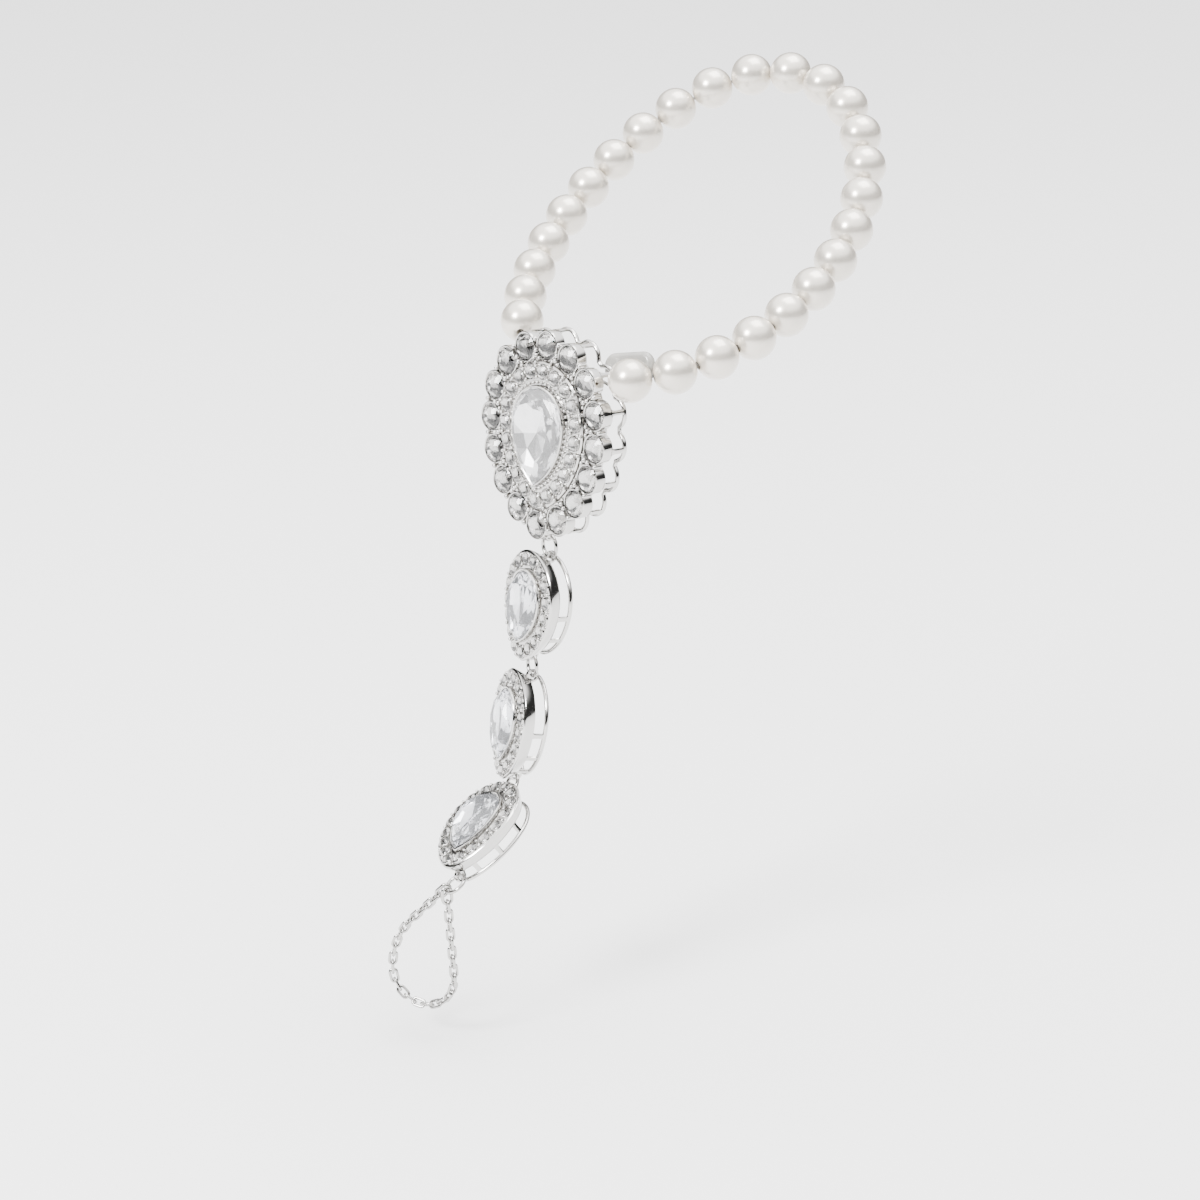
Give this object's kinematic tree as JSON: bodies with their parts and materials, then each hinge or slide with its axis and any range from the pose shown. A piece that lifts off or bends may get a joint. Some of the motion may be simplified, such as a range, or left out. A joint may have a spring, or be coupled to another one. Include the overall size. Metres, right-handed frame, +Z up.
{
  "type": "barefoot sandal jewellery",
  "caption": "Barefoot sandal: a pearl anklet with a stone-set medallion, a column of pear-shaped drops and a fine chain loop for the second toe.",
  "frame": {"origin": "the middle of the ankle loop, where the wearer's ankle sits", "axes": "+Z up along the lower leg, -Y toward the toes, +X toward the inner side of a right foot; the piece keeps its worn form"},
  "size_m": [0.0661, 0.1003, 0.1702],
  "materials": {
    "pearl": "cream pearl lustre",
    "thread": "pale elastic cord",
    "milky_pad": "milky gloss",
    "silver_metal": "polished rhodium-coloured plating",
    "cut_stone": "clear faceted crystal"
  },
  "bodies": {
    "root": {"pearl_01": "pearl", "pearl_02": "pearl", "pearl_03": "pearl", "pearl_04": "pearl", "pearl_05": "pearl", "pearl_06": "pearl", "pearl_07": "pearl", "pearl_08": "pearl", "pearl_09": "pearl", "pearl_10": "pearl", "pearl_11": "pearl", "pearl_12": "pearl", "pearl_13": "pearl", "pearl_14": "pearl", "pearl_15": "pearl", "pearl_16": "pearl", "pearl_17": "pearl", "pearl_18": "pearl", "pearl_19": "pearl", "pearl_20": "pearl", "pearl_21": "pearl", "pearl_22": "pearl", "pearl_23": "pearl", "pearl_24": "pearl", "pearl_25": "pearl", "elastic_thread": "thread", "knot_cover": "milky_pad", "medallion_setting": "silver_metal", "drop_1_setting": "silver_metal", "drop_2_setting": "silver_metal", "drop_3_setting": "silver_metal", "jump_ring_1": "silver_metal", "jump_ring_2": "silver_metal", "jump_ring_3": "silver_metal", "jump_ring_4": "silver_metal", "toe_chain": "silver_metal", "medallion_stone": "cut_stone", "medallion_inner_stones": "cut_stone", "medallion_outer_stones": "cut_stone", "drop_1_stone": "cut_stone", "drop_2_stone": "cut_stone", "drop_3_stone": "cut_stone", "drop_1_halo_stones": "cut_stone", "drop_2_halo_stones": "cut_stone", "drop_3_halo_stones": "cut_stone"}
  },
  "joints": []
}
